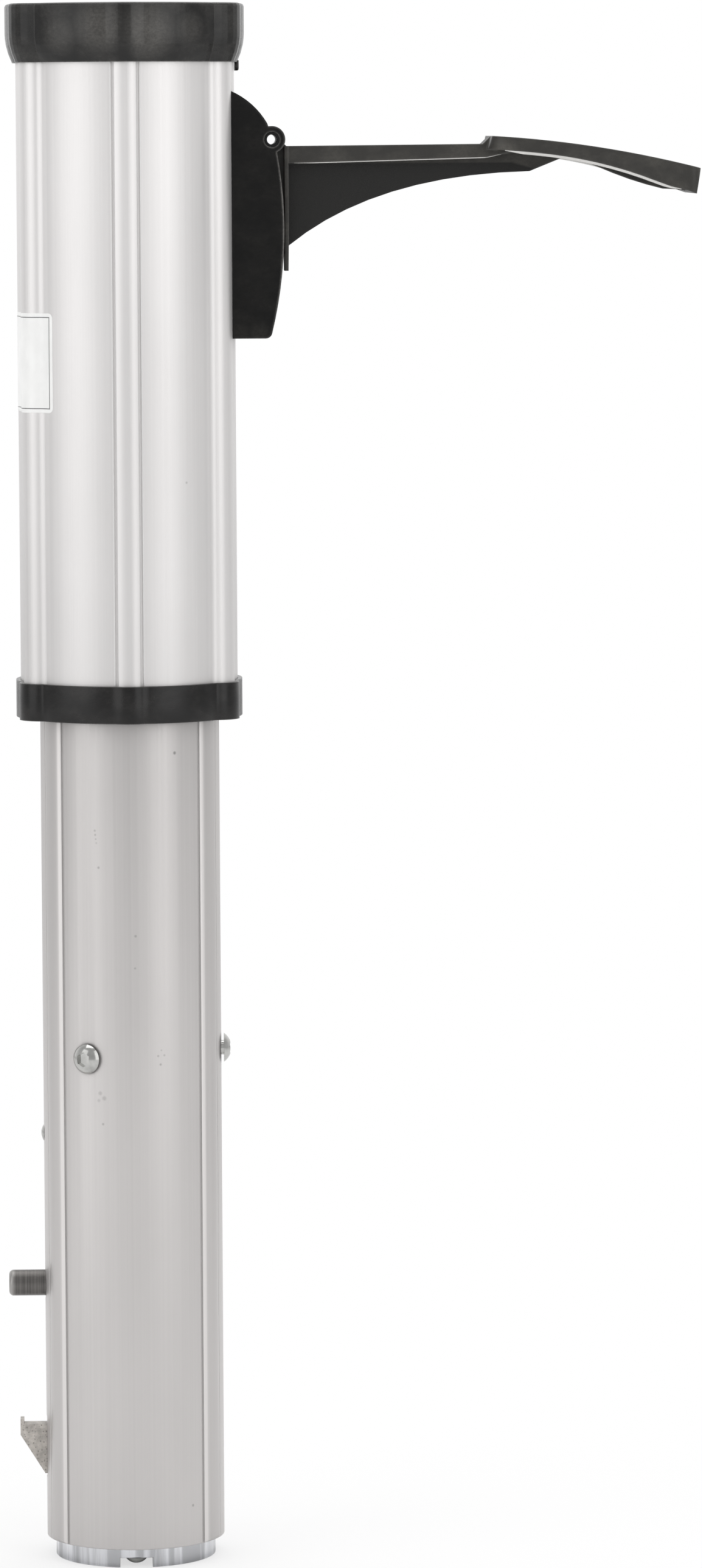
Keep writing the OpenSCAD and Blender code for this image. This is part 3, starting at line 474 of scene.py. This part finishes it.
# Small dents and specks: x, y, z and radius in mm, and darkness
POST_MARKS = [
    (18.0, -31.9, 333.6, 0.9, 0.75),
    (-13.2, -34.1, 287.5, 0.7, 0.45),
    (1.6, -36.5, 259.8, 0.7, 0.4),
    (1.3, -36.5, 246.7, 0.6, 0.35),
    (11.4, -34.8, 207.2, 0.7, 0.45),
    (-12.2, -34.5, 183.0, 0.7, 0.4),
    (23.4, -28.2, 24.6, 0.8, 0.5),
    (10.4, -35.0, 210.7, 0.6, 0.4),
    (12.9, -34.1, 210.9, 0.6, 0.35),
    (11.7, -34.6, 213.0, 0.5, 0.3),
    (-13.2, -34.0, 195.6, 1.1, 0.28),
    (-11.6, -34.6, 193.6, 1.2, 0.3),
    (-13.8, -33.8, 192.6, 0.9, 0.25),
    (-14.6, -33.5, 302.5, 0.6, 0.4),
    (-14.4, -33.5, 300.8, 0.6, 0.4),
    (-14.2, -33.6, 299.1, 0.5, 0.35),
    (-14.0, -33.7, 297.5, 0.5, 0.3),
]
TUBE_MARKS = [(23.6, -37.6, 443.0, 0.7, 0.4)]
# Heights in mm between which the tube is painted darker, most at the lower one, as painted shade
TUBE_SHADED_SPAN = (361, 611)
# Places painted pale, x, y, z and radius in mm, and strength: painted reflections on the cap's
# front and on the lever's bracket near its foot, and scuffs on the paddle's inner corners
CAP_SHEEN = [
    (-10.5, -50.5, 625.0, 14.0, 0.6),
    (9.5, -50.5, 623.0, 15.0, 0.65),
    (-27.0, -41.5, 622.0, 10.0, 0.35),
    (27.0, -42.5, 624.0, 9.0, 0.35),
]
HOUSING_FLOOR_SHEEN = [(45.5, -17.0, 502.0, 6.0, 0.5), (53.5, -17.0, 502.0, 6.0, 0.5)]
LEVER_RUBS = [(152.0, -29.5, 574.0, 7.5, 0.9), (152.0, 29.5, 574.0, 7.5, 0.9)]
# Where the bracket's front edge gets a painted highlight
HOUSING_EDGE_HIGHLIGHT = (63.0, 0.0, 545.0, 52.0, 1.0)


def make_looks():
    """The record's materials, then two for the blank panel and one for the painted highlight
    strips.
    """
    return {
        "post_tube": extrusion("post_tube", (0.585, 0.566, 0.558), POST_MARKS, ribs=RIB_TURNS),
        "sleeve_tube": extrusion(
            "sleeve_tube", (0.8, 0.784, 0.778), TUBE_MARKS, groove_shade=0.85, shaded_below=TUBE_SHADED_SPAN
        ),
        "ring_metal": ring_metal("ring_metal", (0.82, 0.83, 0.86)),
        "casting": cast("casting", (0.5, 0.5, 0.5), 0.8),
        "wedge_casting": cast("wedge_casting", (0.57, 0.536, 0.498), 0.6, metallic=0.25),
        "screw_steel": polished("screw_steel", (0.52, 0.52, 0.505), 0.09),
        "nut_steel": plain_metal("nut_steel", (0.6, 0.6, 0.58), 0.3),
        "black_steel": plain_metal("black_steel", (0.02, 0.02, 0.02), 0.4),
        "button_metal": turned_button("button_metal", (0.15, 0.143, 0.137), (0.36, 0.35, 0.34)),
        "spring_steel": plain_metal("spring_steel", (0.42, 0.43, 0.46), 0.26),
        "cylinder_paint": moulded(
            "cylinder_paint", (0.015, 0.015, 0.015), (0.05, 0.05, 0.05), 0.3, 0.25
        ),
        "rod_chrome": polished("rod_chrome", (0.8, 0.8, 0.82), 0.07),
        "brass": plain_metal("brass", (0.62, 0.45, 0.2), 0.3),
        # The cap: painted reflection spots on its front and lines of painted shade down it
        "cap_plastic": moulded(
            "cap_plastic", (0.004, 0.0038, 0.0035), (0.125, 0.119, 0.11), 0.22, 0.2,
            sheen=0.4, edge=0.9, wear_and_highlight=0.55, rubs_and_sheen=CAP_SHEEN, shade_lines=SHADE_LINE_TURNS,
        ),
        "guide_plastic": moulded(
            "guide_plastic", (0.004, 0.0036, 0.0034), (0.045, 0.042, 0.04), 0.4, 0.2, sheen=0.36
        ),
        "lever_plastic": moulded(
            "lever_plastic", (0.029, 0.0275, 0.0245), (0.082, 0.077, 0.067), 0.65, 0.42,
            sheen=0.38, edge=0.9, wear_and_highlight=0.2, rubs_and_sheen=LEVER_RUBS, shaded_web=True,
        ),
        # The bracket: a painted reflection near its foot and a painted highlight on its front edge
        "housing_plastic": moulded(
            "housing_plastic", (0.0022, 0.0022, 0.0021), (0.028, 0.026, 0.023), 0.3, 0.34,
            sheen=0.22, edge=1.5, wear_and_highlight=1.0, highlight_at=HOUSING_EDGE_HIGHLIGHT, rubs_and_sheen=HOUSING_FLOOR_SHEEN,
        ),
        "seal_rubber": moulded(
            "seal_rubber", (0.008, 0.008, 0.008), (0.04, 0.04, 0.04), 0.3, 0.6
        ),
        "panel": vinyl("panel", (0.93, 0.93, 0.92)),
        "panel_line": vinyl("panel_line", (0.12, 0.12, 0.12)),
        # Pale plastic for the strips of painted highlight under the lever's edges
        "rim_highlight": moulded("rim_highlight", (0.64, 0.63, 0.61), (0.8, 0.79, 0.77), 0.6, 0.4),
    }


# Rounding in mm of the shown nodes that have no long thin triangles, which a bevel would spoil
ROUNDED = {
    "release_lever": 0.9,
    "lever_housing": 1.6,
    "lower_collar": 0.5,
    "latch_wedge": 0.4,
    "foot_ring": 0.25,
    "lower_post": 0.35,
    "hinge_pin": 0.2,
}
# How near two points have to be to count as one, in mm
WELD_REACH = 0.002


def soften(piece, width, segments, angle):
    """Bevels edges sharper than angle by width mm, without touching the mesh."""
    bevel = piece.modifiers.new("round", "BEVEL")
    bevel.width = width * MM
    bevel.segments = segments
    bevel.limit_method = "ANGLE"
    bevel.angle_limit = math.radians(angle)


def dress_nodes(looks):
    """Gives each CAD node its material, and rounds the edges that show."""
    for entry in frame["record"]["subparts"]:
        node = nodes[entry["node"]]
        node.data.materials.clear()
        node.data.materials.append(looks[entry["material_slot"]])
    for name, width in ROUNDED.items():
        weld = nodes[name].modifiers.new("weld", "WELD")
        weld.merge_threshold = WELD_REACH * MM
        soften(nodes[name], width, segments=3, angle=32)


# ------------------------------------------------------------------ pieces


def surface_of(name):
    """A CAD node's surface, to find where a ray meets it."""
    node = nodes[name]
    spots = [node.matrix_world @ v.co for v in node.data.vertices]
    return BVHTree.FromPolygons(spots, [list(p.vertices) for p in node.data.polygons])


def add_piece(name, spots, faces, body, looks):
    """A mesh piece from points in mm that rides on a CAD body."""
    mesh = bpy.data.meshes.new(name)
    mesh.from_pydata([Vector(spot) * MM for spot in spots], [], faces)
    for look in looks:
        mesh.materials.append(look)
    piece = bpy.data.objects.new(name, mesh)
    bpy.context.scene.collection.objects.link(piece)
    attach(piece, body)
    return piece


def bridge(rings, closed=True):
    """The points of some rings of equal count, and the faces between each ring and the next."""
    count = len(rings[0])
    faces = []
    for k in range(len(rings) - 1):
        for i in range(count if closed else count - 1):
            j = (i + 1) % count
            faces.append((k * count + i, k * count + j, (k + 1) * count + j, (k + 1) * count + i))
    return [spot for ring in rings for spot in ring], faces


def bar(rings):
    """As bridge, with a face over the first ring and one over the last."""
    spots, faces = bridge(rings)
    count = len(rings[0])
    faces.append(tuple(reversed(range(count))))
    faces.append(tuple(range(len(spots) - count, len(spots))))
    return spots, faces


# The cap's tab in mm: its width, how far it hangs out and how far it reaches up into the cap, the
# steps of its round end, and its layers from inside to outside: x, and how much smaller each is
TAB_W = 3.2
TAB_DROP = 3.4
TAB_SUNK = 0.8
TAB_STEPS = 8
TAB_LAYERS = ((44.4, 0.0), (45.7, 0.0), (46.08, 0.22), (46.2, 0.55))


def add_cap_tab(looks):
    """The small tongue that hangs from the cap's lower edge over the lever's side."""
    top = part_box("top_cap")[0][2] / MM + TAB_SUNK
    half = TAB_W / 2
    low = top - TAB_DROP - TAB_SUNK
    outline = [(-half, top)]
    for step in range(TAB_STEPS + 1):
        turn = math.pi * (1 + step / TAB_STEPS)
        outline.append((half * math.cos(turn), low + half + half * math.sin(turn)))
    outline.append((half, top))
    rings = [
        [(x, y * (1 - less / half), z + (top - z) * less / TAB_DROP) for y, z in outline]
        for x, less in TAB_LAYERS
    ]
    spots, faces = bar(rings)
    tab = add_piece("cap_tab", spots, faces, "sleeve", [looks["cap_plastic"]])
    for polygon in tab.data.polygons:
        polygon.use_smooth = len(polygon.vertices) == 4


# A pale strip of painted highlight under the lever's rim in mm: its width, how far it lies inside
# the rim and how far it reaches up into it, its rounding, and a height below the lever to look up
# from
HIGHLIGHT_W = 1.4
HIGHLIGHT_INSET = 0.1
HIGHLIGHT_SUNK = 0.3
HIGHLIGHT_ROUND = 0.12
HIGHLIGHT_BELOW = 450
HIGHLIGHT_STEPS = 48
# Share of its height that a highlight strip has at its ends, and how fast it grows to the full
# height
HIGHLIGHT_ENDS = (0.2, 8)
# The paddle's inner end and the radius of its corners there, seen from above
PADDLE_START = 146.1
PADDLE_CORNER = 9.0


def add_highlight_strip(name, surface, side, wide, span, height, looks):
    """A pale strip of painted highlight under the lever's rim or flange, on one side."""
    rings = []
    start, end = span
    least, grow = HIGHLIGHT_ENDS
    for step in range(HIGHLIGHT_STEPS + 1):
        t = step / HIGHLIGHT_STEPS
        x = start + (end - start) * t
        turn = max(0.0, PADDLE_START + PADDLE_CORNER - x) if start > PADDLE_START else 0.0
        half = wide - PADDLE_CORNER + math.sqrt(PADDLE_CORNER**2 - turn**2)
        y = side * (half - HIGHLIGHT_W / 2)
        hit = surface.ray_cast(Vector((x, y, HIGHLIGHT_BELOW)) * MM, Vector((0, 0, 1)))[0]
        under = hit.z / MM
        h = height * min(1.0, least + grow * t, least + grow * (1 - t))
        section = (
            (0, HIGHLIGHT_SUNK), (0, -0.6 * h), (-0.25, -h),
            (-1.1, -h), (-HIGHLIGHT_W, -0.6 * h), (-HIGHLIGHT_W, HIGHLIGHT_SUNK),
        )
        rings.append([(x, side * (half - HIGHLIGHT_INSET + dy), under + dz) for dy, dz in section])
    spots, faces = bar(rings)
    if side < 0:
        faces = [tuple(reversed(face)) for face in faces]
    strip_piece = add_piece(name, spots, faces, "lever", [looks["rim_highlight"]])
    soften(strip_piece, HIGHLIGHT_ROUND, segments=2, angle=35)


# The panel: its heights in mm, its turns round the tube, and its corners' radius in mm
PANEL_Z = (471.0, 511.0)
PANEL_TURN = (152.0, 227.4)
PANEL_CORNER = 2.0
# How far in mm it stands off the tube on its edge strip and inside that, and the strip's width
PANEL_OFF = (0.02, 0.16)
PANEL_RIM = 0.1
# The line round it: how far in it lies, and its width in mm
LINE_IN = 1.5
LINE_W = 0.35
# The strip of close places along the panel's edges in mm, and the number of places between
STOPS_EDGE = 3.0
STOPS_MIDDLE = 40
# Rays that find the tube's outline, and how far out they start in metres
OUTLINE_STEPS = 600
OUTLINE_FROM = 0.08


def stops(length):
    """Places across the panel, close together at its edges and at its line."""
    edge = [0, 0.25, 0.8, LINE_IN, LINE_IN + LINE_W, STOPS_EDGE]
    rest = length - 2 * STOPS_EDGE
    middle = [STOPS_EDGE + rest * i / STOPS_MIDDLE for i in range(1, STOPS_MIDDLE)]
    return edge + middle + [length - e for e in reversed(edge)]


def add_panel(looks):
    """A blank vinyl panel, pressed over the tube's left side."""
    surface = surface_of("outer_tube")
    fine = []
    level = sum(PANEL_Z) / 2
    first, last = PANEL_TURN
    for step in range(OUTLINE_STEPS + 1):
        turn = math.radians(first + (last - first) * step / OUTLINE_STEPS)
        away = Vector((math.cos(turn), math.sin(turn), 0))
        hit = surface.ray_cast(away * OUTLINE_FROM + Vector((0, 0, level * MM)), -away)[0]
        fine.append(away * (Vector((hit.x, hit.y, 0)).length / MM))
    reach = [0.0]
    for a, b in zip(fine, fine[1:]):
        reach.append(reach[-1] + (b - a).length)
    wide = reach[-1]
    high = PANEL_Z[1] - PANEL_Z[0]

    def at(s, lift):
        """The point s mm along the tube's outline, lift mm off it."""
        k = next((i for i in range(1, len(reach)) if reach[i] >= s), len(reach) - 1)
        t = (s - reach[k - 1]) / (reach[k] - reach[k - 1])
        spot = fine[k - 1].lerp(fine[k], t)
        return spot * (1 + lift / spot.length)

    across, down = stops(wide), stops(high)
    rows = []
    for d in down:
        near = min(d, high - d)
        cut = 0.0
        if near < PANEL_CORNER:
            cut = PANEL_CORNER - math.sqrt(PANEL_CORNER**2 - (PANEL_CORNER - near) ** 2)
        row = []
        for s in across:
            s = min(max(s, cut), wide - cut)
            edge = min(near, s - cut, wide - cut - s)
            spot = at(s, PANEL_OFF[edge > PANEL_RIM])
            row.append((spot.x, spot.y, PANEL_Z[0] + d))
        rows.append(row)
    spots, faces = bridge(rows, closed=False)
    parts = [looks["panel"], looks["panel_line"]]
    panel = add_piece("blank_panel", spots, faces, "sleeve", parts)
    inner, outer = LINE_IN, LINE_IN + LINE_W
    columns = len(across) - 1
    for index, polygon in enumerate(panel.data.polygons):
        row, column = divmod(index, columns)
        d = (down[row] + down[row + 1]) / 2
        s = (across[column] + across[column + 1]) / 2
        edge = min(d, high - d, s, wide - s)
        polygon.material_index = int(inner < edge < outer)
        polygon.use_smooth = True


# Heights between which the leaf bends, and the step of its cuts there, in metres
LEAF_BEND = (0.170, 0.119)
LEAF_CUT = 0.003


def add_leaf(looks):
    """The catch's leaf spring, which bends below its rivet."""
    node = nodes["latch_leaf"]
    mesh = node.data.copy()
    mesh.transform(node.matrix_world)
    shape = bmesh.new()
    shape.from_mesh(mesh)
    bmesh.ops.remove_doubles(shape, verts=shape.verts, dist=WELD_REACH * MM)
    z = LEAF_BEND[1]
    while z < LEAF_BEND[0]:
        geometry = shape.verts[:] + shape.edges[:] + shape.faces[:]
        bmesh.ops.bisect_plane(shape, geom=geometry, plane_co=(0, 0, z), plane_no=(0, 0, 1))
        z += LEAF_CUT
    shape.to_mesh(mesh)
    shape.free()
    mesh.materials.clear()
    mesh.materials.append(looks["spring_steel"])
    leaf = bpy.data.objects.new("bending_leaf", mesh)
    bpy.context.scene.collection.objects.link(leaf)
    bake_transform(leaf)
    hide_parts("latch_leaf")


# The strips of painted highlight under the paddle's rim and the arm's flange, in mm: from and to
# along X, and height
RIM_SPAN = (152.4, 223.5)
RIM_HIGHLIGHT_H = 1.1
FLANGE_SPAN = (68.0, 152.0)
FLANGE_HIGHLIGHT_H = 0.35
# Half the flange's width
FLANGE_HALF = 11.0


def add_pieces(looks):
    """Pieces the CAD leaves to the scene: thin trim, painted highlight strips, and the leaf that
    bends.
    """
    add_cap_tab(looks)
    add_panel(looks)
    add_leaf(looks)
    surface = surface_of("release_lever")
    paddle_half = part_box("release_lever")[1][1] / MM
    # Strips of painted highlight under the rim and the flange, on both sides
    for name, side in (("front", -1), ("rear", 1)):
        add_highlight_strip("rim_highlight_" + name, surface, side, paddle_half, RIM_SPAN, RIM_HIGHLIGHT_H, looks)
        add_highlight_strip("flange_highlight_" + name, surface, side, FLANGE_HALF, FLANGE_SPAN, FLANGE_HIGHLIGHT_H, looks)


# ------------------------------------------------------------------- stage

# Half the floor's width, and the distances from the post over which it fades to white, in metres
FLOOR_HALF = 9.0
FLOOR_FADE = (0.05, 0.45)
# How much of the floor is plain white to the camera near the object, and beyond the fade
FLOOR_GLOW = (0.66, 1.0)
FLOOR_COLOR = (0.88, 0.88, 0.88)


def add_floor():
    """A pale floor that takes the object's shadow and runs out to white."""
    mesh = bpy.data.meshes.new("floor")
    corners = [(-1, -1), (1, -1), (1, 1), (-1, 1)]
    mesh.from_pydata([(x * FLOOR_HALF, y * FLOOR_HALF, 0) for x, y in corners], [], [(0, 1, 2, 3)])
    floor = bpy.data.objects.new("floor", mesh)
    bpy.context.scene.collection.objects.link(floor)
    s = Shader("floor", FLOOR_COLOR, roughness=0.9, Specular_IOR_Level=0.1)
    spot = s.add("ShaderNodeVectorMath", operation="LENGTH")
    s.link(s.place, spot.inputs[0])
    far = s.ramp(spot.outputs["Value"], *FLOOR_FADE, *FLOOR_GLOW)
    path = s.add("ShaderNodeLightPath")
    glow = s.add("ShaderNodeEmission")
    glow.inputs["Strength"].default_value = 1.0
    blend = s.add("ShaderNodeMixShader")
    s.link(s.math("MULTIPLY", far, path.outputs["Is Camera Ray"]), blend.inputs["Fac"])
    s.link(s.surface.outputs["BSDF"], blend.inputs[1])
    s.link(glow.outputs["Emission"], blend.inputs[2])
    s.link(blend.outputs["Shader"], s.tree.nodes["Material Output"].inputs["Surface"])
    mesh.materials.append(s.material)


# Soft lamps: place, width and height in metres, and watts. Each faces the point LIT_POINT
LAMPS = {
    "left": ((-1.62, -1.18, 1.1), (1.6, 2.6), 10.2),
    "right": ((1.42, -1.6, 1.1), (1.3, 2.6), 10),
    "top": ((0.1, 0.3, 2.4), (2.0, 2.0), 24),
}
LIT_POINT = (0, 0, 0.42)
# Brightness of the room round the camera and of the white backdrop behind the object, and the
# directions along Y between which the one goes over into the other
ROOM = 0.62
BACKDROP = 1.0
BACKDROP_EDGE = (0.1, 0.75)


def add_light(name, at, size, power):
    data = bpy.data.lights.new(name, "AREA")
    data.shape = "RECTANGLE"
    data.size, data.size_y = size
    data.energy = power
    lamp = bpy.data.objects.new(name, data)
    lamp.location = at
    lamp.rotation_euler = (Vector(LIT_POINT) - Vector(at)).to_track_quat("-Z", "Y").to_euler()
    bpy.context.scene.collection.objects.link(lamp)


def add_world():
    """White where the camera sees it; as a light, bright behind the object and dim before it."""
    world = bpy.data.worlds.new("world")
    bpy.context.scene.world = world
    world.use_nodes = True
    tree = world.node_tree
    back = tree.nodes["Background"]
    place = tree.nodes.new("ShaderNodeTexCoord")
    parts = tree.nodes.new("ShaderNodeSeparateXYZ")
    tree.links.new(place.outputs["Generated"], parts.inputs["Vector"])
    sweep = tree.nodes.new("ShaderNodeMapRange")
    sweep.interpolation_type = "SMOOTHSTEP"
    limits = (*BACKDROP_EDGE, ROOM, BACKDROP)
    for socket, value in zip(("From Min", "From Max", "To Min", "To Max"), limits):
        sweep.inputs[socket].default_value = value
    tree.links.new(parts.outputs["Y"], sweep.inputs["Value"])
    path = tree.nodes.new("ShaderNodeLightPath")
    level = tree.nodes.new("ShaderNodeMath")
    level.operation = "MAXIMUM"
    tree.links.new(path.outputs["Is Camera Ray"], level.inputs[0])
    tree.links.new(sweep.outputs["Result"], level.inputs[1])
    tree.links.new(level.outputs["Value"], back.inputs["Strength"])
    back.inputs["Color"].default_value = (1, 1, 1, 1)


def add_lights():
    add_world()
    for name, (at, size, power) in LAMPS.items():
        add_light(name, at, size, power)
    bpy.context.scene.view_settings.view_transform = "Standard"


add_camera()
looks = make_looks()
dress_nodes(looks)
add_pieces(looks)
add_floor()
add_lights()
